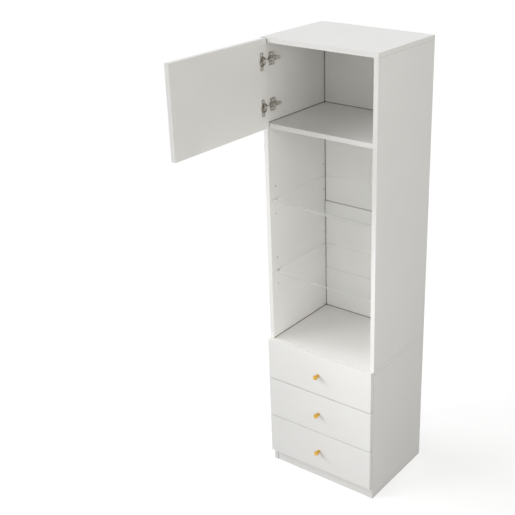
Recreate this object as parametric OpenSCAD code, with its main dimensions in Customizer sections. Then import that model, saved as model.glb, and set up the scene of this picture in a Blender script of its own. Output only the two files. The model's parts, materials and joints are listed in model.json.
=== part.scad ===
// Tall microwave cabinet: hinged door above, open bay with two glass shelves,
// three drawers below and a recessed plinth board.
// Every sub-part is drawn in place. Its sizes are counted from the lower left front
// corner of the side panels, and placed() then moves the footprint's centre to the origin.

/* [Cabinet] */
// Overall width of the cabinet
cabinet_w = 500; // [440:5:600]
// Depth of the side panels, without the fronts
carcass_d = 382; // [376:1:480]
// Thickness of the coated boards
board_t = 18; // [16:0.5:19]
// Clear height of the open bay
bay_h = 887; // [840:1:960]
// Clear height of the compartment behind the door
compartment_h = 298; // [280:1:420]

/* [Back] */
// Thickness of the back panels
back_t = 3; // [2.5:0.5:4]
// Distance from the rear edges to the back panels
back_inset = 10; // [8:1:14]
// Depth of the grooves that hold the back panels
groove_depth = 6; // [4:0.5:7]
// Play of a thin panel in its groove, on each side
groove_play = 0.15; // [0.05:0.05:0.3]
// Height of the rail across the back of the bay
rail_h = 69; // [50:1:110]
// Height of the rail above the deck
rail_lift = 413; // [380:1:460]

/* [Plinth] */
// Height of the plinth board
plinth_h = 52; // [40:1:80]
// Gap between the plinth board and the lowest drawer front above it
plinth_gap = 3; // [2:0.5:6]
// How far the plinth board stands behind the side panels' front edges
plinth_inset = 1.5; // [0:0.5:30]

/* [Glass shelves] */
// Thickness of the glass
glass_t = 5; // [4:0.5:8]
// Gap between the glass and each side panel
glass_side_gap = 1.5; // [1:0.5:3]
// How far the glass stands behind the front edges
glass_front_inset = 6; // [2:1:20]
// Gap between the glass and the back panels
glass_rear_gap = 7; // [4:1:10]
// Height of the lower pins above the deck
lower_pin_lift = 290; // [250:1:340]
// Height of the upper pins above the deck
upper_pin_lift = 590; // [540:1:640]
// Diameter of the shelf pins and their holes
pin_d = 5; // [4:0.5:6]
// Depth of the shelf pin holes
pin_hole_depth = 10; // [8:0.5:12]
// Height step between shelf pin holes
pin_pitch = 57; // [32:1:64]
// Distance of the front pin holes from the front edges
pin_front_setback = 37; // [30:1:60]
// Distance of the rear pin holes from the rear edges
pin_rear_setback = 26; // [22:1:60]
// Length of a pin outside its hole
pin_reach = 8; // [6:0.5:12]

/* [Door] */
// Height of the bottom edge of the door above the fixed shelf's underside
door_bottom_gap = 1; // [0:0.5:3]
// Distance from the door's top edge to the top of the cabinet
door_top_gap = 2; // [1:0.5:4]
// Distance of each hinge from the compartment's roof and floor
hinge_offset = 64; // [50:1:90]

/* [Hinge] */
// Diameter of the hinge cup
cup_d = 35; // [34:0.5:36]
// Depth of the hinge cup
cup_depth = 12.5; // [12.5:0.1:13]
// Distance from the door's edge to the middle of the cup
cup_setback = 22.5; // [22:0.5:23.5]
// Sheet thickness of the cup, its flange and the arm
sheet_t = 1.2; // [1:0.1:1.3]
// Length of the cup's flange along the door edge
flange_l = 64; // [60:1:68]
// Width of the cup's flange
flange_w = 17; // [16:0.5:18]
// Distance of the flange's middle line from the cup's, away from the door's edge
flange_offset = 6; // [5:0.5:7]
// Diameter of the hinge's pins
hinge_pin_d = 3; // [2.8:0.1:3]
// Running clearance of a link on its pin, on the radius
pin_play = 0.05; // [0.02:0.01:0.1]
// Width of the link between its eyes
link_w = 8; // [7:0.5:8]
// Thickness of the curved link
link_t = 1.6; // [1.4:0.1:1.7]
// Height of the mounting plate
plate_l = 48; // [46:1:54]
// Width of the mounting plate
plate_w = 30; // [26:1:32]
// Distance of the mounting plate's screws from the front edge
plate_setback = 37; // [36:1:39]
// Distance between the two screws of a mounting plate
plate_screw_pitch = 32; // [30:1:34]
// Distance of the arm's tail from the front edge
arm_l = 74; // [72:1:84]

/* [Drawers] */
// Height of a drawer front
front_h = 178; // [172:1:196]
// Gap between two drawer fronts
front_gap = 3; // [2:0.5:4]
// Height of the deck's top face above the highest front
deck_reveal = 2; // [1:0.5:3]
// How far the fronts stop short of the side panels' outer faces
side_reveal = 1; // [0:0.5:3]
// Gap between a closed front and the carcass
front_rest_gap = 0.5; // [0.4:0.1:1]
// Height of a drawer box
box_h = 120; // [100:1:130]
// Depth of a drawer box
box_d = 350; // [340:1:354]
// Thickness of the drawer box's boards
box_t = 12; // [10:0.5:15]
// Height of a drawer box above its front's bottom edge
box_lift = 25; // [20:1:28]
// Thickness of a drawer bottom
bottom_t = 3; // [2.5:0.5:5]
// Height of the groove for the bottom above the box's lower edge
bottom_lift = 10; // [8:1:14]

/* [Drawer slides] */
// Space between a drawer box and the carcass, filled by the slide
slide_w = 12.7; // [12.5:0.1:13]
// Height of the slide's outer member
slide_h = 45; // [43:0.5:46]
// How much shorter the slides are than a drawer box
slide_short = 3; // [2:1:20]
// Sheet thickness of the slide members
slide_t = 1.2; // [1:0.1:1.3]
// Gap between one slide member and the next, where the balls run
slide_play = 0.8; // [0.6:0.1:0.9]
// Depth of the lips that hold the members together
slide_lip = 2; // [1.5:0.1:2.5]

/* [Knobs] */
// Diameter of the knob's head
knob_head_d = 18; // [16:1:24]
// Length of the knob's head
knob_head_l = 10; // [8:0.5:12]
// Diameter of the knob's neck
knob_neck_d = 8; // [8:0.5:11]
// Diameter of the knob's foot
knob_foot_d = 13; // [12.5:0.5:16]
// Length of the knob's foot
knob_foot_l = 8; // [4:0.5:9]
// Length of the whole knob
knob_l = 25; // [23:0.5:32]
// Diameter of the knob screws
screw_d = 4; // [3.5:0.5:5]

/* [Dowels] */
// Diameter of the dowels
dowel_d = 8; // [6:1:8]
// Length of the dowels
dowel_l = 30; // [28:1:35]
// Play of a dowel in its hole, on the radius and at each end
dowel_play = 0.1; // [0.05:0.05:0.2]

/* [Hidden] */
$fn = 48;
eps = 0.01;

white = "#eeeeea";
hardboard = "#e6e6e2";
steel = "#b9bab8";
zinc = "#c8c8c4";
gold = "#d9a93a";
clear_glass = [0.85, 0.92, 0.9, 0.35];
beech = "#d9b98a";

// heights
drawer_count = 3;
drawer_pitch = front_h + front_gap;
front_bottom = plinth_h + plinth_gap;
deck_top = front_bottom + drawer_count * drawer_pitch - front_gap + deck_reveal;
lower_side_h = deck_top - board_t;
shelf_bottom = deck_top + bay_h;
shelf_top = shelf_bottom + board_t;
roof = shelf_top + compartment_h;
cabinet_h = roof + board_t;
rail_bottom = deck_top + rail_lift;
rail_top = rail_bottom + rail_h;
bottom_panel_top = plinth_h + board_t;

// widths and depths
inner_w = cabinet_w - 2 * board_t;
back_face = carcass_d - back_inset - back_t;
groove_w = back_t + 2 * groove_play;
back_reach = groove_depth - groove_play;
pin_rows = [pin_front_setback, carcass_d - pin_rear_setback];
lower_pin_z = deck_top + lower_pin_lift;
upper_pin_z = deck_top + upper_pin_lift;
pin_flat = 0.5;
pin_head_r = pin_d / 2 + 0.5;
glass_seat = pin_head_r - pin_flat;
glass_d = back_face - glass_rear_gap - glass_front_inset;

// hinge, counted from the side panel's inner face, the front edges and the hinge's height;
// the door is drawn open at a right angle
arm_pin_x = 18;
arm_pin_y = 7;
cup_pin_x = 8;
cup_pin_y = -16;
open_face_x = 10;
open_edge_y = -3.5;
closed_overlay = 16.87;
link_rise = 8;
eye_r = hinge_pin_d / 2 + 1.1;
cup_y = open_edge_y - cup_setback;
cup_play = 0.05;
cup_bore_r = cup_d / 2 + cup_play;
cup_bore_depth = cup_depth + 0.3;
cup_rim_t = 0.6;
cup_rim_w = 1;
ear_play = 0.6;
ear_t = 3;
ear_l = 9;
ear_h = 6;
mouth_l = 22;
flange_corner_r = 2.5;
flange_y = cup_y - flange_offset;
flange_screw_d = 4;
flange_screw_pitch = 48;
flange_pilot_d = 3;
flange_pilot_h = 11;
cheek_play = 0.5;
cheek_z = link_w / 2 + cheek_play;
ridge_x = 12;
ridge_y = 20;
ridge_l = 40;
web_y = 22;
tail_x = ridge_x - 5;
tail_l = 6;
plate_base_t = 2;
plate_corner_r = 3;
plate_screw_d = 5;
plate_screw_hole = 12;
arm_screw_d = 5;
arm_hole_d = arm_screw_d + 0.2;
adjust_screw_y = 32;
clamp_screw_y = 54;
tail_hole_inset = 8;
tight_pin_r = hinge_pin_d / 2 + 0.01;
hinge_heights = [shelf_top + hinge_offset, roof - hinge_offset];

// door
door_w = cabinet_w - 2 * (board_t - closed_overlay);
door_bottom = shelf_bottom + door_bottom_gap;
door_top = cabinet_h - door_top_gap;
door_face = board_t + open_face_x;

// drawers
box_w = inner_w - 2 * slide_w;
box_left = board_t + slide_w;
bottom_groove_d = 6;
front_back = -front_rest_gap;
front_face = front_back - board_t;
slide_front = 2;
slide_l = box_d - slide_short;
knob_head_from = knob_l - knob_head_l;
knob_bore_l = 12;
knob_bore_r = screw_d / 2 + 0.05;

// dowels
dowel_short = 11;
dowel_long = dowel_l - dowel_short;
dowel_inset = 50;
dowel_offset = 30;
top_dowel_rows = [dowel_inset, carcass_d - dowel_inset - 10];
low_dowel_rows = [dowel_inset + dowel_offset, carcass_d - dowel_inset - 10 - dowel_offset];

function drawer_z(k) = front_bottom + (drawer_count - 1 - k) * drawer_pitch;
function slide_z(k) = drawer_z(k) + box_lift + box_h / 2;

// common forms

module placed() {
  translate([-cabinet_w / 2, -carcass_d / 2, 0]) children();
}

// mirrored to the right-hand side of the cabinet
module other_side() {
  translate([cabinet_w, 0, 0]) mirror([1, 0, 0]) children();
}

module box_at(x, y, z, w, d, h) {
  translate([x, y, z]) cube([w, d, h]);
}

// rod along +X, +Y or +Z from a point
module rod_x(x, y, z, l, r) {
  translate([x, y, z]) rotate([0, 90, 0]) cylinder(h = l, r = r);
}

module rod_y(x, y, z, l, r) {
  translate([x, y, z]) rotate([-90, 0, 0]) cylinder(h = l, r = r);
}

module rod_z(x, y, z, l, r) {
  translate([x, y, z]) cylinder(h = l, r = r);
}

// sheet on a face that looks along +X, h high and w wide, with round corners
module corner_plate(x, y, h, w, t, r) {
  translate([x, y, 0]) rotate([0, 90, 0]) linear_extrude(t) {
    square([h - 2 * r, w], center = true);
    square([h, w - 2 * r], center = true);
    for (up = [-1, 1])
      for (back = [-1, 1])
        translate([up * (h / 2 - r), back * (w / 2 - r)]) circle(r = r);
  }
}

// groove for a back panel in a vertical or level face; the cutter reaches from lo to hi
module back_groove_x(x, z, h) {
  box_at(x, back_face - groove_play, z, groove_depth + eps, groove_w, h);
}

module back_groove_z(x, z, w) {
  box_at(x, back_face - groove_play, z, w, groove_w, groove_depth + eps);
}

// dowels, drawn as the dowel itself or, with play, as its hole

module upright_dowels(x, rows, joint, up, play) {
  low = up ? dowel_short : dowel_long;
  for (y = rows)
    rod_z(x, y, joint - low - play, dowel_l + 2 * play, dowel_d / 2 + play);
}

module level_dowels(joint, rows, z, play) {
  for (y = rows)
    rod_x(joint - dowel_short - play, y, z, dowel_l + 2 * play, dowel_d / 2 + play);
}

module left_dowels(play) {
  middle = board_t / 2;
  upright_dowels(middle, top_dowel_rows, roof, false, play);
  upright_dowels(middle, top_dowel_rows, deck_top, true, play);
  upright_dowels(middle, low_dowel_rows, lower_side_h, false, play);
  level_dowels(board_t, top_dowel_rows, shelf_bottom + middle, play);
  level_dowels(board_t, low_dowel_rows, plinth_h + middle, play);
  level_dowels(board_t, [carcass_d - middle], (rail_bottom + rail_top) / 2, play);
  level_dowels(board_t, [plinth_inset + middle], plinth_h / 2, play);
}

module all_dowels(play) {
  left_dowels(play);
  other_side() left_dowels(play);
}

// shelf pin holes of one wall, three at each pin

module pin_holes() {
  for (z = [lower_pin_z, upper_pin_z])
    for (step = [-1:1])
      for (y = pin_rows)
        rod_x(board_t - pin_hole_depth, y, z + step * pin_pitch, pin_hole_depth + eps, pin_d / 2);
}

module plate_screw_holes() {
  for (z = hinge_heights)
    for (side = [-1, 1])
      rod_x(board_t - plate_screw_hole, plate_setback, z + side * plate_screw_pitch / 2,
            plate_screw_hole + eps, plate_screw_d / 2);
}

// panels

module upper_side(hinged) {
  color(white) difference() {
    box_at(0, 0, deck_top, board_t, carcass_d, roof - deck_top);
    back_groove_x(board_t - groove_depth, deck_top - eps, roof - deck_top + 2 * eps);
    left_dowels(dowel_play);
    pin_holes();
    if (hinged) plate_screw_holes();
  }
}

module lower_side() {
  groove_from = bottom_panel_top - groove_depth;
  color(white) difference() {
    box_at(0, 0, 0, board_t, carcass_d, lower_side_h);
    back_groove_x(board_t - groove_depth, groove_from, lower_side_h - groove_from + eps);
    left_dowels(dowel_play);
  }
}

module top_panel() {
  color(white) difference() {
    box_at(0, 0, roof, cabinet_w, carcass_d, board_t);
    back_groove_z(board_t - groove_depth, roof - eps, inner_w + 2 * groove_depth);
    all_dowels(dowel_play);
  }
}

module fixed_shelf() {
  color(white) difference() {
    box_at(board_t, 0, shelf_bottom, inner_w, back_face - groove_play, board_t);
    all_dowels(dowel_play);
  }
}

module deck_panel() {
  color(white) difference() {
    box_at(0, 0, lower_side_h, cabinet_w, carcass_d, board_t);
    back_groove_z(board_t - groove_depth, deck_top - groove_depth, inner_w + 2 * groove_depth);
    back_groove_z(board_t - groove_depth, lower_side_h - eps, inner_w + 2 * groove_depth);
    all_dowels(dowel_play);
  }
}

module bottom_panel() {
  color(white) difference() {
    box_at(board_t, 0, plinth_h, inner_w, carcass_d, board_t);
    back_groove_z(board_t - eps, bottom_panel_top - groove_depth, inner_w + 2 * eps);
    all_dowels(dowel_play);
  }
}

module plinth_board() {
  color(white) difference() {
    box_at(board_t, plinth_inset, 0, inner_w, board_t, plinth_h);
    all_dowels(dowel_play);
  }
}

module back_rail() {
  color(white) difference() {
    box_at(board_t, carcass_d - board_t, rail_bottom, inner_w, board_t, rail_h);
    back_groove_z(board_t - eps, rail_top - groove_depth, inner_w + 2 * eps);
    back_groove_z(board_t - eps, rail_bottom - eps, inner_w + 2 * eps);
    all_dowels(dowel_play);
  }
}

// thin panel held in grooves on its four edges, between two heights
module back_panel(low, high) {
  color(hardboard)
    box_at(board_t - back_reach, back_face, low - back_reach,
           inner_w + 2 * back_reach, back_t, high - low + 2 * back_reach);
}

// glass shelves and their pins

module glass_shelf(pin_z) {
  color(clear_glass)
    box_at(board_t + glass_side_gap, glass_front_inset, pin_z + glass_seat,
           inner_w - 2 * glass_side_gap, glass_d, glass_t);
}

// round pin with a wider head, cut flat on top where the glass lies
module shelf_pin(y, z) {
  rod_x(board_t - pin_hole_depth + 0.5, y, z, pin_hole_depth, pin_d / 2 - pin_play);
  difference() {
    rod_x(board_t, y, z, pin_reach, pin_head_r);
    box_at(board_t - 1, y - pin_d, z + glass_seat, pin_reach + 2, 2 * pin_d, pin_d);
  }
}

module wall_pins() {
  for (z = [lower_pin_z, upper_pin_z])
    for (y = pin_rows)
      shelf_pin(y, z);
}

module shelf_pins() {
  color(zinc) {
    wall_pins();
    other_side() wall_pins();
  }
}

module carcass_dowels() {
  color(beech) all_dowels(0);
}

// door and hinges; children of at_hinge() are drawn from the wall's inner face

module at_hinge(k) {
  translate([board_t, 0, hinge_heights[k]]) children();
}

module door_panel() {
  color(white) difference() {
    box_at(door_face - board_t, open_edge_y - door_w, door_bottom, board_t, door_w, door_top - door_bottom);
    for (k = [0, 1]) at_hinge(k) {
      rod_x(open_face_x - cup_bore_depth, cup_y, 0, cup_bore_depth + eps, cup_bore_r);
      for (side = [-1, 1])
        rod_x(open_face_x - flange_pilot_h, flange_y, side * flange_screw_pitch / 2,
              flange_pilot_h + eps, flange_pilot_d / 2);
    }
  }
}

// plate on the wall with a ridge that the arm sits on
module hinge_plate() {
  ridge_half = cheek_z - cheek_play;
  color(steel) difference() {
    union() {
      corner_plate(0, plate_setback, plate_l, plate_w, plate_base_t, plate_corner_r);
      box_at(0, ridge_y, -ridge_half, ridge_x, ridge_l, 2 * ridge_half);
    }
    for (side = [-1, 1])
      rod_x(-eps, plate_setback, side * plate_screw_pitch / 2, plate_base_t + 1, plate_screw_d / 2 + 0.1);
    for (y = [adjust_screw_y, clamp_screw_y])
      rod_x(plate_base_t, y, 0, ridge_x, arm_screw_d / 2);
  }
}

// side view of one cheek of the arm, from its nose over the pin to its tail
module cheek_outline() {
  nose = eye_r + 1.2;
  foot_x = plate_base_t + 0.2;
  polygon(concat(
    [for (a = [60:-15:-150]) [arm_pin_x + nose * cos(a), arm_pin_y + nose * sin(a)]],
    [[foot_x, web_y - 5], [foot_x, ridge_y + ridge_l], [tail_x, arm_l - tail_l], [tail_x, arm_l],
     [ridge_x + sheet_t, arm_l], [ridge_x + sheet_t, web_y + 2]]
  ));
}

// channel of bent sheet: two cheeks and a web over the plate's ridge
module hinge_arm() {
  color(steel) difference() {
    union() {
      for (side = [0, 1]) mirror([0, 0, side])
        translate([0, 0, cheek_z]) linear_extrude(sheet_t) cheek_outline();
      box_at(ridge_x, web_y, -cheek_z - eps, sheet_t, arm_l - web_y, 2 * cheek_z + 2 * eps);
    }
    rod_z(arm_pin_x, arm_pin_y, -2 * cheek_z, 4 * cheek_z, tight_pin_r);
    for (y = [adjust_screw_y, clamp_screw_y, arm_l - tail_hole_inset])
      rod_x(ridge_x - 1, y, 0, sheet_t + 2, arm_hole_d / 2);
  }
}

module pin_at(x, y, half_l) {
  rod_z(x, y, -half_l, 2 * half_l, hinge_pin_d / 2);
}

module hinge_arm_pins() {
  half_l = cheek_z + sheet_t + 0.4;
  color(zinc) for (k = [0, 1]) at_hinge(k) pin_at(arm_pin_x, arm_pin_y, half_l);
}

// curved link: an arc of sheet between two rolled eyes
module link_outline() {
  run_x = cup_pin_x - arm_pin_x;
  run_y = cup_pin_y - arm_pin_y;
  chord = norm([run_x, run_y]);
  arc_r = (chord * chord / 4 + link_rise * link_rise) / (2 * link_rise);
  turn = atan2(run_y, run_x);
  half_angle = asin(chord / 2 / arc_r);
  translate([arm_pin_x, arm_pin_y]) rotate(turn) {
    translate([chord / 2, link_rise - arc_r]) rotate(90 - half_angle)
      intersection() {
        difference() {
          circle(r = arc_r + link_t / 2, $fn = 96);
          circle(r = arc_r - link_t / 2, $fn = 96);
        }
        polygon([[0, 0], [2 * arc_r, 0], 2 * arc_r * [cos(half_angle), sin(half_angle)],
                 2 * arc_r * [cos(2 * half_angle), sin(2 * half_angle)]]);
      }
    circle(r = eye_r);
    translate([chord, 0]) circle(r = eye_r);
  }
}

module hinge_link() {
  color(zinc) difference() {
    translate([0, 0, -link_w / 2]) linear_extrude(link_w) link_outline();
    rod_z(arm_pin_x, arm_pin_y, -link_w, 2 * link_w, hinge_pin_d / 2 + pin_play);
    rod_z(cup_pin_x, cup_pin_y, -link_w, 2 * link_w, hinge_pin_d / 2 + pin_play);
  }
}

// cup with a rim, a screwed flange and two ears for the link's pin
module hinge_cup() {
  wall_r = cup_d / 2 - sheet_t;
  floor_x = open_face_x - cup_depth + sheet_t;
  ear_z = link_w / 2 + ear_play;
  mouth_half = ear_z + ear_t - 2;
  color(steel) difference() {
    union() {
      difference() {
        union() {
          rod_x(open_face_x - cup_depth, cup_y, 0, cup_depth, cup_d / 2);
          rod_x(open_face_x, cup_y, 0, cup_rim_t, cup_d / 2 + cup_rim_w);
        }
        rod_x(floor_x, cup_y, 0, cup_depth + 1, wall_r);
      }
      intersection() {
        rod_x(open_face_x - cup_depth, cup_y, 0, cup_depth + sheet_t, cup_d / 2);
        for (side = [0, 1]) mirror([0, 0, side])
          box_at(open_face_x - ear_h, cup_pin_y - eye_r, ear_z, ear_h + sheet_t, ear_l, ear_t);
      }
      flange();
    }
    box_at(floor_x, cup_pin_y - mouth_l, -mouth_half, cup_depth + 2, mouth_l, 2 * mouth_half);
    rod_z(cup_pin_x, cup_pin_y, -ear_z - ear_t - 1, 2 * (ear_z + ear_t + 1), tight_pin_r);
    for (side = [-1, 1])
      rod_x(open_face_x - 1, flange_y, side * flange_screw_pitch / 2, sheet_t + 2, flange_screw_d / 2);
  }
}

// flat flange that carries the cup on the door's face, set back from the cup's middle
module flange() {
  difference() {
    corner_plate(open_face_x, flange_y, flange_l, flange_w, sheet_t, flange_corner_r);
    rod_x(open_face_x - 1, cup_y, 0, sheet_t + 2, cup_d / 2 - sheet_t);
  }
}

module hinge_cup_pins() {
  color(zinc) for (k = [0, 1]) at_hinge(k) pin_at(cup_pin_x, cup_pin_y, link_w / 2 + 3.2);
}

// drawers, k = 0 at the top

module drawer_front(k) {
  z = drawer_z(k);
  color(white) difference() {
    box_at(side_reveal, front_face, z, cabinet_w - 2 * side_reveal, board_t, front_h);
    box_at(box_left + box_t - bottom_groove_d, front_back - bottom_groove_d,
           z + box_lift + bottom_lift - groove_play,
           box_w - 2 * box_t + 2 * bottom_groove_d, bottom_groove_d + 1, bottom_t + 2 * groove_play);
    rod_y(cabinet_w / 2, front_face - 1, z + front_h / 2, board_t + 2, screw_d / 2 + 0.25);
  }
}

module bottom_groove(x, k) {
  box_at(x, front_back - 1, drawer_z(k) + box_lift + bottom_lift - groove_play,
         bottom_groove_d + eps, box_d + 2, bottom_t + 2 * groove_play);
}

module drawer_side(k) {
  color(white) difference() {
    box_at(box_left, front_back, drawer_z(k) + box_lift, box_t, box_d, box_h);
    bottom_groove(box_left + box_t - bottom_groove_d, k);
  }
}

// the back stands on the drawer's bottom, between the sides
module drawer_back(k) {
  lift = bottom_lift + bottom_t;
  color(white)
    box_at(box_left + box_t, front_back + box_d - box_t, drawer_z(k) + box_lift + lift,
           box_w - 2 * box_t, box_t, box_h - lift);
}

module drawer_base(k) {
  reach = bottom_groove_d - groove_play;
  color(hardboard)
    box_at(box_left + box_t - reach, front_back - reach, drawer_z(k) + box_lift + bottom_lift,
           box_w - 2 * box_t + 2 * reach, box_d + reach, bottom_t);
}

// slide members in cross section: first number is counted from the cabinet's wall,
// second from the slide's middle height

module outer_section() {
  h = slide_h / 2;
  lip_x = slide_w - 2.7;
  for (side = [0, 1]) mirror([0, side])
    polygon([[0, -eps], [slide_t, -eps], [slide_t, h - slide_t], [lip_x - slide_t, h - slide_t],
             [lip_x - slide_t, h - slide_t - slide_lip], [lip_x, h - slide_t - slide_lip],
             [lip_x, h], [0, h]]);
}

module middle_section() {
  h = slide_h / 2 - slide_t - slide_play;
  x0 = slide_t + slide_play;
  x1 = slide_w - 2.7 - slide_t - slide_play;
  for (side = [0, 1]) mirror([0, side])
    polygon([[x0, -eps], [x0 + slide_t, -eps], [x0 + slide_t, h - slide_t], [x1, h - slide_t], [x1, h], [x0, h]]);
}

module inner_section() {
  h = slide_h / 2 - slide_t - slide_lip - slide_play;
  x0 = 2 * slide_t + 2 * slide_play;
  for (side = [0, 1]) mirror([0, side])
    polygon([[x0, h - slide_t], [slide_w - slide_t, h - slide_t], [slide_w - slide_t, -eps],
             [slide_w, -eps], [slide_w, h], [x0, h]]);
}

// a pair of members, left and right, drawn from one cross section
module member_pair(k, y) {
  placed_member(k, y) children();
  other_side() placed_member(k, y) children();
}

module placed_member(k, y) {
  translate([board_t, y + slide_l, slide_z(k)]) rotate([90, 0, 0]) linear_extrude(slide_l) children();
}

module slide_outer(k) { color(zinc) member_pair(k, slide_front) outer_section(); }
module slide_middle(k) { color(zinc) member_pair(k, slide_front) middle_section(); }
module slide_inner(k) { color(zinc) member_pair(k, slide_front) inner_section(); }

// quarter circle of a turned edge, from one angle to another around a centre
function eased(cx, cy, r, from, to) =
  [for (step = [0:4]) let (a = from + (to - from) * step / 4) [cx + r * cos(a), cy + r * sin(a)]];

// turned knob: foot, waisted neck and a head with eased edges, bored for its screw
module knob(k) {
  edge = 1.2;
  foot = knob_foot_d / 2 - edge;
  head = knob_head_d / 2 - edge;
  neck = knob_neck_d / 2;
  translate([cabinet_w / 2, front_face, drawer_z(k) + front_h / 2]) rotate([90, 0, 0])
    color(gold) rotate_extrude($fn = 64) polygon(concat(
      [[knob_bore_r, 0], [knob_foot_d / 2, 0]],
      eased(foot, knob_foot_l - edge, edge, 0, 90),
      [[neck, knob_foot_l + 0.6], [neck, knob_head_from - 0.6]],
      eased(head, knob_head_from + edge, edge, -90, 0),
      eased(head, knob_l - edge, edge, 0, 90),
      [[0, knob_l], [0, knob_bore_l], [knob_bore_r, knob_bore_l]]
    ));
}

// screw from inside the drawer into the knob
module knob_screw(k) {
  head_h = 2.4;
  z = drawer_z(k) + front_h / 2;
  color(zinc) {
    rod_y(cabinet_w / 2, front_face - knob_bore_l + 1, z, board_t + knob_bore_l - 1 + eps, screw_d / 2);
    rod_y(cabinet_w / 2, front_back, z, head_h, screw_d);
  }
}

placed() top_panel();
placed() upper_side(true);  // upper_side_left
placed() other_side() upper_side(false);  // upper_side_right
placed() fixed_shelf();
placed() deck_panel();
placed() lower_side();  // lower_side_left
placed() other_side() lower_side();  // lower_side_right
placed() bottom_panel();
placed() plinth_board();
placed() back_rail();
placed() back_panel(rail_top, roof);  // back_panel_upper
placed() back_panel(deck_top, rail_bottom);  // back_panel_lower
placed() back_panel(bottom_panel_top, lower_side_h);  // back_panel_base
placed() glass_shelf(upper_pin_z);  // glass_shelf_upper
placed() glass_shelf(lower_pin_z);  // glass_shelf_lower
placed() shelf_pins();
placed() carcass_dowels();
placed() door_panel();
placed() at_hinge(1) hinge_plate();  // hinge_plate_upper
placed() at_hinge(0) hinge_plate();  // hinge_plate_lower
placed() at_hinge(1) hinge_arm();  // hinge_arm_upper
placed() at_hinge(0) hinge_arm();  // hinge_arm_lower
placed() hinge_arm_pins();
placed() at_hinge(1) hinge_link();  // hinge_link_upper
placed() at_hinge(0) hinge_link();  // hinge_link_lower
placed() at_hinge(1) hinge_cup();  // hinge_cup_upper
placed() at_hinge(0) hinge_cup();  // hinge_cup_lower
placed() hinge_cup_pins();
placed() drawer_front(0);  // drawer_front_top
placed() drawer_front(1);  // drawer_front_middle
placed() drawer_front(2);  // drawer_front_bottom
placed() drawer_side(0);  // drawer_side_left_top
placed() drawer_side(1);  // drawer_side_left_middle
placed() drawer_side(2);  // drawer_side_left_bottom
placed() other_side() drawer_side(0);  // drawer_side_right_top
placed() other_side() drawer_side(1);  // drawer_side_right_middle
placed() other_side() drawer_side(2);  // drawer_side_right_bottom
placed() drawer_back(0);  // drawer_back_top
placed() drawer_back(1);  // drawer_back_middle
placed() drawer_back(2);  // drawer_back_bottom
placed() drawer_base(0);  // drawer_base_top
placed() drawer_base(1);  // drawer_base_middle
placed() drawer_base(2);  // drawer_base_bottom
placed() slide_outer(0);  // slide_outer_top
placed() slide_outer(1);  // slide_outer_middle
placed() slide_outer(2);  // slide_outer_bottom
placed() slide_middle(0);  // slide_middle_top
placed() slide_middle(1);  // slide_middle_middle
placed() slide_middle(2);  // slide_middle_bottom
placed() slide_inner(0);  // slide_inner_top
placed() slide_inner(1);  // slide_inner_middle
placed() slide_inner(2);  // slide_inner_bottom
placed() knob(0);  // knob_top
placed() knob(1);  // knob_middle
placed() knob(2);  // knob_bottom
placed() knob_screw(0);  // knob_screw_top
placed() knob_screw(1);  // knob_screw_middle
placed() knob_screw(2);  // knob_screw_bottom
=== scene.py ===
import json
import math
import bmesh
import bpy
import numpy as np
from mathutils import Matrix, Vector


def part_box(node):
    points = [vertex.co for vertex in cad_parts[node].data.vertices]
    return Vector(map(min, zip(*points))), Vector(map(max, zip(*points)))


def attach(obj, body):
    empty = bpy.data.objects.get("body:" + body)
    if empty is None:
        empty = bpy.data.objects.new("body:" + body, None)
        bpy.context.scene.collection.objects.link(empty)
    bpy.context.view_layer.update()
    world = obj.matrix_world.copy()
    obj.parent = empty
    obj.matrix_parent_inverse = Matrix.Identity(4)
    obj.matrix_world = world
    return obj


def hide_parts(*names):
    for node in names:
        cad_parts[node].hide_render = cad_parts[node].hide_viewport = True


# Tall microwave cabinet of white faced boards. Boards, glass, hinges and drawer slides come
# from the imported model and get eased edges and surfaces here. The knobs are turned anew, the
# hinges get screw heads, and the floor, the light and the camera are set.

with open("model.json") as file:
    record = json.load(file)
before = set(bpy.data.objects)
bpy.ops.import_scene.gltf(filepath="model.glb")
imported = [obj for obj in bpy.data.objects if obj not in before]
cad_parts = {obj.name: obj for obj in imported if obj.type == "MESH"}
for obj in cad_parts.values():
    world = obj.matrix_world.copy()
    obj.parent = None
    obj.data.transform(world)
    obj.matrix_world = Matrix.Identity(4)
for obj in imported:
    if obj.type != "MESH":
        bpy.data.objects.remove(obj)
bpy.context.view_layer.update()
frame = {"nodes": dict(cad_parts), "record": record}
nodes = frame["nodes"]
bodies = frame["record"]["behaviour"]["bodies"]
bodyOf = {node: body for body, members in bodies.items() for node in members}
slotOf = {part["node"]: part["material_slot"] for part in frame["record"]["subparts"]}
mm = 0.001
levels = ("top", "middle", "bottom")                # the three drawers
pairLevels = ("upper", "lower")                      # the two hinges, and the two glass shelves
print("frame loaded:", len(nodes), "nodes")


# Colours and shader nodes

def linearColour(code):
    # sRGB hex to linear: the straight part below 0.04045, the power curve above it
    parts = np.array([int(code[i:i + 2], 16) for i in (1, 3, 5)]) / 255
    linear = np.where(parts <= 0.04045, parts / 12.92, ((parts + 0.055) / 1.055) ** 2.4)
    return (*linear.tolist(), 1.0)


def addNode(tree, kind, sockets=None, stops=(), **settings):
    # a node with its settings; each socket gets a value or a link from another node, and a
    # colour ramp gets its stops, each a position and a colour
    node = tree.nodes.new("ShaderNode" + kind)
    for name, value in settings.items():
        setattr(node, name, value)
    if stops:
        for element, (position, code) in zip(node.color_ramp.elements, stops):
            element.position = position
            element.color = linearColour(code)
    for name, value in (sockets or {}).items():
        if isinstance(value, bpy.types.NodeSocket):
            tree.links.new(value, node.inputs[name])
        else:
            node.inputs[name].default_value = value
    return node


def newTree(name):
    material = bpy.data.materials.new(name)
    material.use_nodes = True
    material.node_tree.nodes.clear()
    return material, material.node_tree


def closeTree(tree, shader):
    output = addNode(tree, "OutputMaterial")
    tree.links.new(shader.outputs[0], output.inputs["Surface"])


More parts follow.
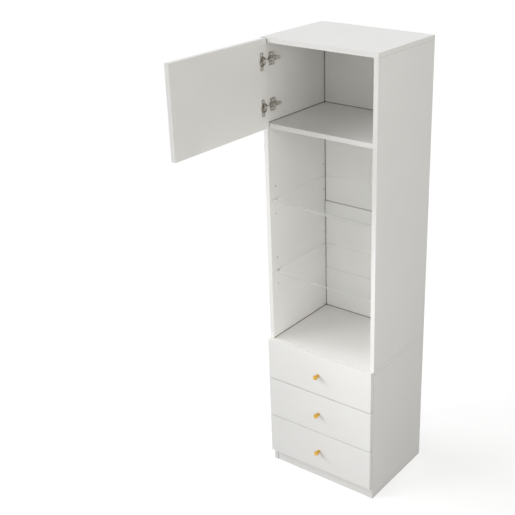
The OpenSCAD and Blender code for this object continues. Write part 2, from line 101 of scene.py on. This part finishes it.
# Board materials

melamine = {
    "light": "#f1f0ed", "dark": "#eeedea",
    "toneStops": (0.35, 0.65),                       # where the noise turns dark and light
    "drift": 350 * mm,                               # from one drift of the tone to the next
    "pearl": 2.2 * mm,                               # pressed grain; the real 0.4 mm won't show
    "pearlHeight": 0.02 * mm,
    "roughness": (0.40, 0.48), "ior": 1.55,
    "cornerShade": "#3e3a34", "cornerShadeReach": 6 * mm,          # painted shade: a dark line in a corner between two boards
    "cornerShadeStops": (0.58, 0.81),                       # open share: darkest, and plain again
    "frontCornerShade": "#f4f2ee",                          # hardly any painted corner shade on faces to the front
    "joint": "#e0deda", "jointHalf": 0.6 * mm,       # faint line of a flush joint outside
    "outside": 249.5 * mm,                           # beyond this x the outer faces begin
}
lacquer = {"light": "#efeeea", "dark": "#ebeae6"}


def makeMelamine(name, light, dark, cornerShade, joints=()):
    # chipboard faced with melamine paper: hard and satin, with a faint pressed grain, a thin
    # dark line of painted shade where boards meet in a corner, and fainter lines at the heights of
    # flush joints
    material, tree = newTree(name)
    place = addNode(tree, "TexCoord").outputs["Object"]
    drift = addNode(tree, "TexNoise", {
        "Vector": place, "Scale": 1 / melamine["drift"], "Detail": 2.0}).outputs["Fac"]
    pearl = addNode(tree, "TexNoise", {
        "Vector": place, "Scale": 1 / melamine["pearl"], "Detail": 1.0}).outputs["Fac"]
    paper = addNode(tree, "ValToRGB", {"Fac": drift}, zip(melamine["toneStops"], (dark, light)))
    # painted shade: occlusion by nearby boards darkens the paper in corners
    corner = addNode(tree, "AmbientOcclusion", {"Distance": melamine["cornerShadeReach"]}, samples=12)
    line = addNode(tree, "ValToRGB", {"Fac": corner.outputs["AO"]},
                   zip(melamine["cornerShadeStops"], (cornerShade, "#ffffff")))
    colour = addNode(tree, "Mix", {
        "Factor": 1.0, "A": paper.outputs["Color"], "B": line.outputs["Color"]},
        data_type="RGBA", blend_type="MULTIPLY").outputs["Result"]
    if joints:
        spot = addNode(tree, "SeparateXYZ", {"Vector": place}).outputs
        across = addNode(tree, "Math", {0: spot["X"]}, operation="ABSOLUTE").outputs[0]
        outer = addNode(tree, "Math", {0: across, 1: melamine["outside"]},
                        operation="GREATER_THAN").outputs[0]
    for height in joints:
        near = addNode(tree, "Math", {0: spot["Z"], 1: height, 2: melamine["jointHalf"]},
                       operation="COMPARE").outputs[0]
        shown = addNode(tree, "Math", {0: near, 1: outer}, operation="MULTIPLY").outputs[0]
        colour = addNode(tree, "Mix", {
            "Factor": shown, "A": colour, "B": linearColour(melamine["joint"])},
            data_type="RGBA", blend_type="MULTIPLY").outputs["Result"]
    bump = addNode(tree, "Bump", {
        "Height": pearl, "Distance": melamine["pearlHeight"], "Strength": 0.6})
    smoothest, roughest = melamine["roughness"]
    gloss = addNode(tree, "MapRange", {"Value": drift, "To Min": smoothest, "To Max": roughest})
    closeTree(tree, addNode(tree, "BsdfPrincipled", {
        "Base Color": colour, "Roughness": gloss.outputs["Result"],
        "IOR": melamine["ior"], "Normal": bump.outputs["Normal"]}))
    return material


chipboard = {
    "light": "#c9b18a", "dark": "#8f7552", "chip": 3 * mm, "bumpHeight": 0.3 * mm,
    "hole": "#3c362f", "holeReach": 8 * mm,          # painted shade: hardly any light gets into the pin holes
    "holeStops": (0.2, 0.6),                         # open share: darkest, and plain again
    "roughness": 0.85,
}


def makeChipboard():
    # the board's core, bare in holes and grooves: pressed wood chips of 1 to 5 mm, with painted
    # shade deep in the holes
    material, tree = newTree("bareChipboard")
    place = addNode(tree, "TexCoord").outputs["Object"]
    chips = addNode(tree, "TexVoronoi", {"Vector": place, "Scale": 1 / chipboard["chip"]})
    tone = addNode(tree, "SeparateColor", {"Color": chips.outputs["Color"]}).outputs["Red"]
    colour = addNode(tree, "ValToRGB", {"Fac": tone},
                     zip((0.0, 1.0), (chipboard["dark"], chipboard["light"])))
    # painted shade: occlusion darkens the chips deep in the holes
    inside = addNode(tree, "AmbientOcclusion", {"Distance": chipboard["holeReach"]}, samples=8)
    shade = addNode(tree, "ValToRGB", {"Fac": inside.outputs["AO"]},
                    zip(chipboard["holeStops"], (chipboard["hole"], "#ffffff")))
    shaded = addNode(tree, "Mix", {
        "Factor": 1.0, "A": colour.outputs["Color"], "B": shade.outputs["Color"]},
        data_type="RGBA", blend_type="MULTIPLY")
    bump = addNode(tree, "Bump", {
        "Height": chips.outputs["Distance"], "Distance": chipboard["bumpHeight"]})
    closeTree(tree, addNode(tree, "BsdfPrincipled", {
        "Base Color": shaded.outputs["Result"], "Roughness": chipboard["roughness"],
        "Normal": bump.outputs["Normal"]}))
    return material


beech = {
    "light": "#cfa878", "dark": "#b98d5c", "toneStops": (0.3, 0.7),
    "grain": 1.4 * mm, "stretch": 12, "roughness": 0.6,
}


def makeBeech():
    # turned beech dowels, grain along the dowel
    material, tree = newTree("turnedBeech")
    place = addNode(tree, "TexCoord").outputs["Object"]
    narrow = 1 / beech["stretch"]
    along = addNode(tree, "Mapping", {"Vector": place, "Scale": (narrow, 1, narrow)})
    grain = addNode(tree, "TexNoise", {
        "Vector": along.outputs["Vector"], "Scale": 1 / beech["grain"], "Detail": 4.0})
    colour = addNode(tree, "ValToRGB", {"Fac": grain.outputs["Fac"]},
                     zip(beech["toneStops"], (beech["dark"], beech["light"])))
    closeTree(tree, addNode(tree, "BsdfPrincipled", {
        "Base Color": colour.outputs["Color"], "Roughness": beech["roughness"]}))
    return material


# Glass and metals

glass = {
    "clear": ("#fcfefd", "#feffff"), "ground": ("#edf2ee", "#f5f8f5"),
    "toneStops": (0.3, 0.7), "grit": 0.6 * mm, "ior": 1.52,
    "spread": 1.3,                                   # roughest spots against the smoothest
}


def makeGlass(name, tints, roughness, transmission):
    # float glass of 5 mm: almost clear on its faces, with ground edges that look milky and
    # faintly green
    material, tree = newTree(name)
    place = addNode(tree, "TexCoord").outputs["Object"]
    grit = addNode(tree, "TexNoise", {
        "Vector": place, "Scale": 1 / glass["grit"], "Detail": 2.0}).outputs["Fac"]
    tint = addNode(tree, "ValToRGB", {"Fac": grit}, zip(glass["toneStops"], tints))
    gloss = addNode(tree, "MapRange", {
        "Value": grit, "To Min": roughness, "To Max": roughness * glass["spread"]})
    closeTree(tree, addNode(tree, "BsdfPrincipled", {
        "Base Color": tint.outputs["Color"], "Transmission Weight": transmission,
        "IOR": glass["ior"], "Roughness": gloss.outputs["Result"]}))
    return material


metals = {
    "nickelPlatedSteel": {                           # shelf pins and hinges: pale, half dull
        "tones": ("#dad6cf", "#e9e6e0"), "roughness": (0.28, 0.40),
        "marks": 9 * mm, "height": 0.02 * mm},
    "pressedLinkSteel": {                            # the hinges' links: darker and duller
        "tones": ("#b8b4ad", "#c9c6c0"), "roughness": (0.42, 0.54),
        "marks": 5 * mm, "height": 0.02 * mm},
    "brightScrewSteel": {                            # screw heads, with small clear highlights
        "tones": ("#efece6", "#faf8f4"), "roughness": (0.12, 0.20),
        "marks": 3 * mm, "height": 0.01 * mm},
    "zincPlatedSteel": {                             # slides and knob screws: bluish, drawn
        "tones": ("#aab0b4", "#c4c8cb"), "roughness": (0.30, 0.42),
        "marks": 5 * mm, "height": 0.02 * mm, "stretch": (1, 0.04, 1)},
    "polishedBrass": {                               # turned knobs: warm, with clear highlights
        "tones": ("#d6a846", "#e4bb5a"), "roughness": (0.16, 0.24),
        "marks": 4 * mm, "height": 0.01 * mm},
}
markStops = (0.3, 0.7)


def makeMetal(name):
    # a plated or polished metal: its tone and gloss drift with handling and polish
    metal = metals[name]
    material, tree = newTree(name)
    place = addNode(tree, "TexCoord").outputs["Object"]
    drawn = addNode(tree, "Mapping", {
        "Vector": place, "Scale": metal.get("stretch", (1, 1, 1))}).outputs["Vector"]
    marks = addNode(tree, "TexNoise", {
        "Vector": drawn, "Scale": 1 / metal["marks"], "Detail": 3.0}).outputs["Fac"]
    bump = addNode(tree, "Bump", {
        "Height": marks, "Distance": metal["height"], "Strength": 0.5})
    tone = addNode(tree, "ValToRGB", {"Fac": marks}, zip(markStops, metal["tones"]))
    smoothest, roughest = metal["roughness"]
    gloss = addNode(tree, "MapRange", {"Value": marks, "To Min": smoothest, "To Max": roughest})
    closeTree(tree, addNode(tree, "BsdfPrincipled", {
        "Base Color": tone.outputs["Color"], "Metallic": 1.0,
        "Roughness": gloss.outputs["Result"], "Normal": bump.outputs["Normal"]}))
    return material


tones = (melamine["light"], melamine["dark"])
jointHeights = (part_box("top_panel")[0].z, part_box("deck_panel")[0].z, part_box("deck_panel")[1].z)
board = makeMelamine("melamineFacedBoard", *tones, melamine["cornerShade"])
outerBoard = makeMelamine("melamineFacedSide", *tones, melamine["cornerShade"], jointHeights)
frontBoard = makeMelamine("melamineFacedFront", *tones, melamine["frontCornerShade"])
hardboard = makeMelamine("lacqueredHardboard", lacquer["light"], lacquer["dark"], melamine["cornerShade"])
core = makeChipboard()
dowelWood = makeBeech()
clearGlass = makeGlass("floatGlass", glass["clear"], roughness=0.0, transmission=1.0)
groundGlass = makeGlass("groundGlassEdge", glass["ground"], roughness=0.3, transmission=0.5)
nickel = makeMetal("nickelPlatedSteel")
linkSteel = makeMetal("pressedLinkSteel")
screwSteel = makeMetal("brightScrewSteel")
zinc = makeMetal("zincPlatedSteel")
brass = makeMetal("polishedBrass")
print("materials made")


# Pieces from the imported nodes, with eased edges

easing = {
    "mergeWithin": 1e-6,                             # metres
    "sharpFrom": 40,                                 # degrees; flatter edges stay as they are
    "largeFaces": 100,                               # how far they keep their own direction
    "forwards": -0.9,                                # y of a normal that points to the front
}


def nodesWith(slotName):
    return [node for node, slot in slotOf.items() if slot == slotName]


def faceVectors(mesh, what):
    # the centre or the normal of each face
    values = np.empty(len(mesh.polygons) * 3)
    mesh.polygons.foreach_get(what, values)
    return values.reshape(-1, 3)


def easedCopy(node, edges, materials):
    # a merged copy of the node whose sharp edges are rounded; where the edges have a
    # cutDepth, faces that lie deeper in the piece, such as those of holes and grooves, take
    # the second material, and those that face forwards the third
    work = bmesh.new()
    work.from_mesh(nodes[node].data)
    bmesh.ops.remove_doubles(work, verts=work.verts, dist=easing["mergeWithin"])
    mesh = bpy.data.meshes.new(node + ".eased")
    work.to_mesh(mesh)
    work.free()
    mesh.materials.clear()
    for material in materials:
        mesh.materials.append(material)
    mesh.polygons.foreach_set("use_smooth", np.ones(len(mesh.polygons), dtype=bool))
    mesh.polygons.foreach_set("material_index", np.zeros(len(mesh.polygons), dtype=np.int32))
    piece = bpy.data.objects.new(node + ".eased", mesh)
    bpy.context.scene.collection.objects.link(piece)
    bevel = piece.modifiers.new("edges", "BEVEL")
    bevel.width = edges["width"]
    bevel.segments = edges["segments"]
    bevel.limit_method = "ANGLE"
    bevel.angle_limit = math.radians(easing["sharpFrom"])
    bevel.use_clamp_overlap = True
    flat = piece.modifiers.new("flat faces stay flat", "WEIGHTED_NORMAL")
    flat.weight = easing["largeFaces"]
    flat.keep_sharp = True
    bpy.context.view_layer.update()
    graph = bpy.context.evaluated_depsgraph_get()
    finished = bpy.data.meshes.new_from_object(piece.evaluated_get(graph))
    piece.modifiers.clear()
    piece.data = finished
    if "cutDepth" in edges:
        centres = faceVectors(finished, "center")
        low, high = (np.array(corner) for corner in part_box(node))
        deep = np.minimum(centres - low, high - centres).min(axis=1) > edges["cutDepth"]
        forwards = faceVectors(finished, "normal")[:, 1] < easing["forwards"]
        which = np.select([deep, forwards], [1, 2], 0).astype(np.int32)
        finished.polygons.foreach_set("material_index", which)
    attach(piece, bodyOf[node])
    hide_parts(node)
    return piece


outerNodes = (
    "top_panel", "deck_panel",
    "upper_side_left", "upper_side_right", "lower_side_left", "lower_side_right",
)
boardEdges = {"width": 0.7 * mm, "segments": 2, "cutDepth": 1.0 * mm}
for node in nodesWith("white_board"):
    if node.startswith("drawer_"):
        faced = frontBoard
    else:
        faced = outerBoard if node in outerNodes else board
    # faces to the front take the front material, with hardly any painted corner shade
    easedCopy(node, boardEdges, (faced, core, frontBoard))
print("boards done")

thinEdges = {"width": 0.3 * mm, "segments": 1}
for node in nodesWith("white_hardboard"):
    easedCopy(node, thinEdges, (hardboard,))

glassEdges = {"width": 0.6 * mm, "segments": 2, "standing": 0.95}
for level in pairLevels:
    shelf = easedCopy("glass_shelf_" + level, glassEdges, (clearGlass, groundGlass))
    standing = np.abs(faceVectors(shelf.data, "normal")[:, 2]) < glassEdges["standing"]
    shelf.data.polygons.foreach_set("material_index", standing.astype(np.int32))
    # clear glass: light goes through to what lies below
    shelf.visible_shadow = False
    shelf.visible_diffuse = False
print("glass done")

metalEdges = {"width": 0.25 * mm, "segments": 2}
dowelEdges = {"width": 0.6 * mm, "segments": 2}
for node in nodesWith("plated_steel"):
    easedCopy(node, metalEdges, (linkSteel if node.startswith("hinge_link") else nickel,))
for node in nodesWith("zinc_steel"):
    easedCopy(node, metalEdges, (zinc,))
easedCopy("carcass_dowels", dowelEdges, (dowelWood,))
print("metal parts done")


# New pieces, worked out as grids of points

gridding = {"mergeWithin": 1e-7, "sharpFrom": 35}    # metres, degrees


def gridMesh(name, points, material, body):
    # points is rings x steps x 3; each ring closes on itself, and the first and the last ring
    # are poles, or edges that one flat face closes
    rings, steps = points.shape[:2]
    index = np.arange(rings * steps).reshape(rings, steps)
    after = np.roll(index, -1, axis=1)
    quads = np.stack([index[:-1], after[:-1], after[1:], index[1:]], axis=-1).reshape(-1, 4)
    mesh = bpy.data.meshes.new(name)
    ends = [index[0][::-1].tolist(), index[-1].tolist()]
    mesh.from_pydata(points.reshape(-1, 3).tolist(), [], quads.tolist() + ends)
    mesh.materials.append(material)
    work = bmesh.new()
    work.from_mesh(mesh)
    bmesh.ops.remove_doubles(work, verts=work.verts, dist=gridding["mergeWithin"])
    bmesh.ops.recalc_face_normals(work, faces=work.faces)
    work.to_mesh(mesh)
    work.free()
    mesh.polygons.foreach_set("use_smooth", np.ones(len(mesh.polygons), dtype=bool))
    mesh.set_sharp_from_angle(angle=math.radians(gridding["sharpFrom"]))
    piece = bpy.data.objects.new(name, mesh)
    bpy.context.scene.collection.objects.link(piece)
    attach(piece, body)
    return piece


def turned(profile, steps, centre, across, up, axis):
    # a profile of (radius, height) carried round an axis: centre + axis*height
    # + radius*(across*cos(angle) + up*sin(angle))
    angle = np.linspace(0, 2 * np.pi, steps, endpoint=False)
    radius, height = np.asarray(profile).T[:, :, None, None]
    outwards = np.outer(np.cos(angle), across) + np.outer(np.sin(angle), up)
    return np.asarray(centre) + height * np.asarray(axis) + radius * outwards


def quarter(centre, radius, start, end, count=6):
    # points of (radius, height) on an arc around centre, from one angle to another
    angle = np.radians(np.linspace(start, end, count))
    return [(centre[0] + radius * math.cos(a), centre[1] + radius * math.sin(a)) for a in angle]


knob = {                                             # radii, and lengths from the drawer's front
    "foot": 6.45 * mm, "footLength": 7.9 * mm, "neck": 4.1 * mm, "headFrom": 15.1 * mm,
    "head": 8.95 * mm, "length": 24.95 * mm, "edge": 1.3 * mm,
    "crown": 0.4 * mm, "innerCrown": 0.1 * mm,       # the face's fall at its edge, and half way
    "steps": 72, "waistSteps": 13,
}


def makeKnob(level):
    # a turned spool: foot, hollow neck, head with rounded edges and a slightly crowned face
    low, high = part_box("knob_" + level)
    centre = ((low.x + high.x) / 2, high.y, (low.z + high.z) / 2)
    foot, neck, head, edge = (knob[size] for size in ("foot", "neck", "head", "edge"))
    # the radius grows from the neck with the cube of the way to the foot and to the head
    way = np.linspace(0, 1, knob["waistSteps"])
    waist = neck + (foot - edge - neck) * (1 - way) ** 3 + (head - edge - neck) * way ** 3
    profile = [(0, 0), (foot, 0)]
    profile += quarter((foot - edge, knob["footLength"] - edge), edge, 0, 90)
    profile += list(zip(waist, knob["footLength"] + (knob["headFrom"] - knob["footLength"]) * way))
    profile += quarter((head - edge, knob["headFrom"] + edge), edge, -90, 0)
    profile += quarter((head - edge, knob["length"] - knob["crown"] - edge), edge, 0, 80)
    profile += [(head / 2, knob["length"] - knob["innerCrown"]), (0, knob["length"])]
    points = turned(profile, knob["steps"], centre, (1, 0, 0), (0, 0, 1), (0, -1, 0))
    piece = gridMesh("turned_knob_" + level, points, brass, bodyOf["knob_" + level])
    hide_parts("knob_" + level)


for level in levels:
    makeKnob(level)
print("knobs done")

screwHead = {
    "dome": 0.9 * mm, "domePower": 2.4, "skirt": 0.5 * mm, "rings": 14, "steps": 48,
    "slotDepth": 0.9 * mm, "slotLine": (0.93, 0.37),
    "slotHalf": 0.16, "slotWall": 0.05,              # shares of the radius, across a slot
    "slotReach": 0.62, "slotSlope": 0.12,            # shares of the radius, along a slot
    "turn": 22,                                      # degrees to the first corner
}


def makeScrewHead(name, centre, radius, body):
    # a round head that faces right, with a cross recess: the height is the skirt plus
    # dome*(1 - share^power) at each share of the radius, less the slots' depth near two
    # crossing lines
    axis, across, up = np.array([(1.0, 0, 0), (0, 0, 1.0), (0, -1.0, 0)])
    share = np.linspace(0, 1, screwHead["rings"])[:, None]
    angle = np.linspace(0, 2 * np.pi, screwHead["steps"], endpoint=False)[None, :]
    angle = angle + math.radians(screwHead["turn"])
    side, rise = share * np.cos(angle), share * np.sin(angle)
    a, b = screwHead["slotLine"]
    offLine = np.minimum(np.abs(side * a - rise * b), np.abs(side * b + rise * a))
    recess = (np.clip((screwHead["slotHalf"] - offLine) / screwHead["slotWall"], 0, 1)
              * np.clip((screwHead["slotReach"] - share) / screwHead["slotSlope"], 0, 1))
    dome = screwHead["dome"] * (1 - share ** screwHead["domePower"])
    height = screwHead["skirt"] + dome - screwHead["slotDepth"] * recess
    top = radius * (side[..., None] * across + rise[..., None] * up) + height[..., None] * axis
    rim = radius * (np.cos(angle)[..., None] * across + np.sin(angle)[..., None] * up)
    points = np.concatenate([top, rim]) + np.asarray(centre)
    gridMesh(name, points[::-1], screwSteel, body)


screws = {                                           # radius of each head, and where it sits
    "plate": {"radius": 4.0 * mm, "plateThick": 2 * mm, "y": -0.154, "step": 16 * mm},
    "flange": {"radius": 3.4 * mm, "x": -0.2208, "y": -0.223, "step": 24 * mm},
    "arm": {"radius": 3.0 * mm, "x": -0.2188, "y": {"adjust": -0.159, "clamp": -0.137}},
}
plate, flange, arm = screws["plate"], screws["flange"], screws["arm"]
for level in pairLevels:
    plateLow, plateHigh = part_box("hinge_plate_" + level)
    middle = (plateLow.z + plateHigh.z) / 2
    for end, side in (("a", -1), ("b", 1)):
        place = (plateLow.x + plate["plateThick"], plate["y"], middle + side * plate["step"])
        makeScrewHead("plate_screw_%s_%s" % (level, end), place, plate["radius"], "carcass")
        place = (flange["x"], flange["y"], middle + side * flange["step"])
        makeScrewHead("flange_screw_%s_%s" % (level, end), place, flange["radius"], "door")
    for use, depth in arm["y"].items():
        place = (arm["x"], depth, middle)
        makeScrewHead("arm_screw_%s_%s" % (level, use), place, arm["radius"], "carcass")
print("screws done")


# Floor, light and camera

def seenRays(tree):
    # 1 for what the camera, reflections and glass see, 0 for light that a surface scatters
    path = addNode(tree, "LightPath").outputs
    mirrored = addNode(tree, "Math", {
        0: path["Is Glossy Ray"], 1: path["Is Transmission Ray"]}, operation="MAXIMUM")
    return addNode(tree, "Math", {
        0: path["Is Camera Ray"], 1: mirrored.outputs[0]}, operation="MAXIMUM").outputs[0]


floorLook = {
    "size": 60.0, "colour": "#8e8e8d", "colourTo": "#929291", "toneStops": (0.2, 0.8),
    "grain": 40 * mm, "shown": "#bcbcbb", "lift": 0.61,
}


def makeFloor():
    # pale studio floor: the camera, reflections and glass see it almost white, with the shadow
    half = floorLook["size"] / 2
    corners = [(-half, -half, 0), (half, -half, 0), (half, half, 0), (-half, half, 0)]
    mesh = bpy.data.meshes.new("floor")
    mesh.from_pydata(corners, [], [(0, 1, 2, 3)])
    material, tree = newTree("studioFloor")
    place = addNode(tree, "TexCoord").outputs["Object"]
    grain = addNode(tree, "TexNoise", {"Vector": place, "Scale": 1 / floorLook["grain"]})
    tone = addNode(tree, "ValToRGB", {"Fac": grain.outputs["Fac"]},
                   zip(floorLook["toneStops"], (floorLook["colour"], floorLook["colourTo"])))
    plain = addNode(tree, "BsdfDiffuse", {"Color": tone.outputs["Color"]})
    shown = addNode(tree, "BsdfDiffuse", {"Color": linearColour(floorLook["shown"])})
    lift = addNode(tree, "Emission", {"Strength": floorLook["lift"]})
    pale = addNode(tree, "AddShader", {0: shown.outputs[0], 1: lift.outputs[0]})
    closeTree(tree, addNode(tree, "MixShader", {
        0: seenRays(tree), 1: plain.outputs[0], 2: pale.outputs[0]}))
    mesh.materials.append(material)
    floor = bpy.data.objects.new("floor", mesh)
    bpy.context.scene.collection.objects.link(floor)


light = {
    "horizon": 0.72, "zenith": 0.0,                  # light from all round, strongest low down
    "skyTint": (1.0, 0.985, 0.965),
    "tints": {                                       # warmer from the right than from the left
        "right": (1.0, 0.975, 0.93), "side": (1.0, 0.975, 0.93),
        "left": (0.985, 1.0, 1.03), "front": (0.985, 1.0, 1.03), "rear": (0.985, 1.0, 1.02),
    },
    "softness": 28.0,                                # how wide the far lamps look, in degrees
    "far": {                                         # strength, and where the light comes from
        "left": (1.39, (-0.82, -0.22, 0.53)),
        "front": (1.04, (-0.56, -0.66, 0.50)),
        "right": (0.59, (0.99, -0.09, 0.09)),
        "rear": (0.80, (0.0, 0.77, 0.64)),
    },
    "unmirrored": ("left", "front", "right"),        # no glare on flat boards and hinges
    "panelSize": 0.7,
    "near": {                                        # watts, place and aim of each round panel
        "bayRight": (1.80, (0.45, -0.95, 0.60), (-0.1, 0.0, 1.0)),
        "bayMiddle": (1.05, (-0.05, -0.80, 1.20), (0.0, 0.1, 0.6)),
        "side": (3.80, (1.50, -0.90, 1.90), (0.1, -0.1, 1.3)),
        "door": (0.95, (-0.25, -1.60, 1.75), (-0.2, 0.0, 1.7)),
    },
}


def placeLamp(name, lamp, place, towards):
    lamp.color = light["tints"].get(name, (1, 1, 1))
    piece = bpy.data.objects.new(name, lamp)
    piece.location = place
    piece.rotation_euler = Vector(towards).to_track_quat("-Z", "Y").to_euler()
    bpy.context.scene.collection.objects.link(piece)
    return piece


def makeLight():
    # a surround that looks white, far lamps, and panels near the bay, the side and the door
    world = bpy.data.worlds.new("studio")
    bpy.context.scene.world = world
    world.use_nodes = True
    tree = world.node_tree
    tree.nodes.clear()
    direction = addNode(tree, "TexCoord").outputs["Generated"]
    height = addNode(tree, "SeparateXYZ", {"Vector": direction}).outputs["Z"]
    fade = addNode(tree, "MapRange", {
        "Value": height, "To Min": light["horizon"], "To Max": light["zenith"]})
    sky = addNode(tree, "Background", {
        "Color": (*light["skyTint"], 1), "Strength": fade.outputs["Result"]})
    white = addNode(tree, "Background", {"Color": (1, 1, 1, 1), "Strength": 1.0})
    mixed = addNode(tree, "MixShader", {
        0: seenRays(tree), 1: sky.outputs[0], 2: white.outputs[0]})
    output = addNode(tree, "OutputWorld")
    tree.links.new(mixed.outputs[0], output.inputs["Surface"])
    for name, (strength, come) in light["far"].items():
        lamp = bpy.data.lights.new(name, "SUN")
        lamp.energy = strength
        lamp.angle = math.radians(light["softness"])
        piece = placeLamp(name, lamp, (0, 0, 0), -Vector(come))
        piece.visible_glossy = name not in light["unmirrored"]
    for name, (power, place, aim) in light["near"].items():
        lamp = bpy.data.lights.new(name, "AREA")
        lamp.shape = "DISK"
        lamp.size = light["panelSize"]
        lamp.energy = power
        panel = placeLamp(name, lamp, place, Vector(aim) - Vector(place))
        panel.visible_camera = False
        panel.visible_glossy = False
        panel.visible_transmission = False


view = {                                             # metres, degrees; the lens in millimetres
    "place": (1.93116, -2.87129, 2.48738), "tilt": 66.09, "turn": 34.23,
    "lens": 66.79, "sensor": 36.0, "shiftAcross": -0.1661, "shiftUp": -0.0040, "seesTo": 200,
}


def makeCamera():
    # the photograph is cut from the left part of a wider picture, so the lens is shifted
    lens = bpy.data.cameras.new("camera")
    lens.sensor_width = view["sensor"]
    lens.sensor_fit = "HORIZONTAL"
    lens.lens = view["lens"]
    lens.shift_x = view["shiftAcross"]
    lens.shift_y = view["shiftUp"]
    lens.clip_end = view["seesTo"]
    camera = bpy.data.objects.new("camera", lens)
    camera.location = view["place"]
    camera.rotation_euler = (math.radians(view["tilt"]), 0, math.radians(view["turn"]))
    bpy.context.scene.collection.objects.link(camera)
    bpy.context.scene.camera = camera


makeFloor()
makeLight()
makeCamera()
bpy.context.scene.view_settings.view_transform = "Standard"
print("stage done")
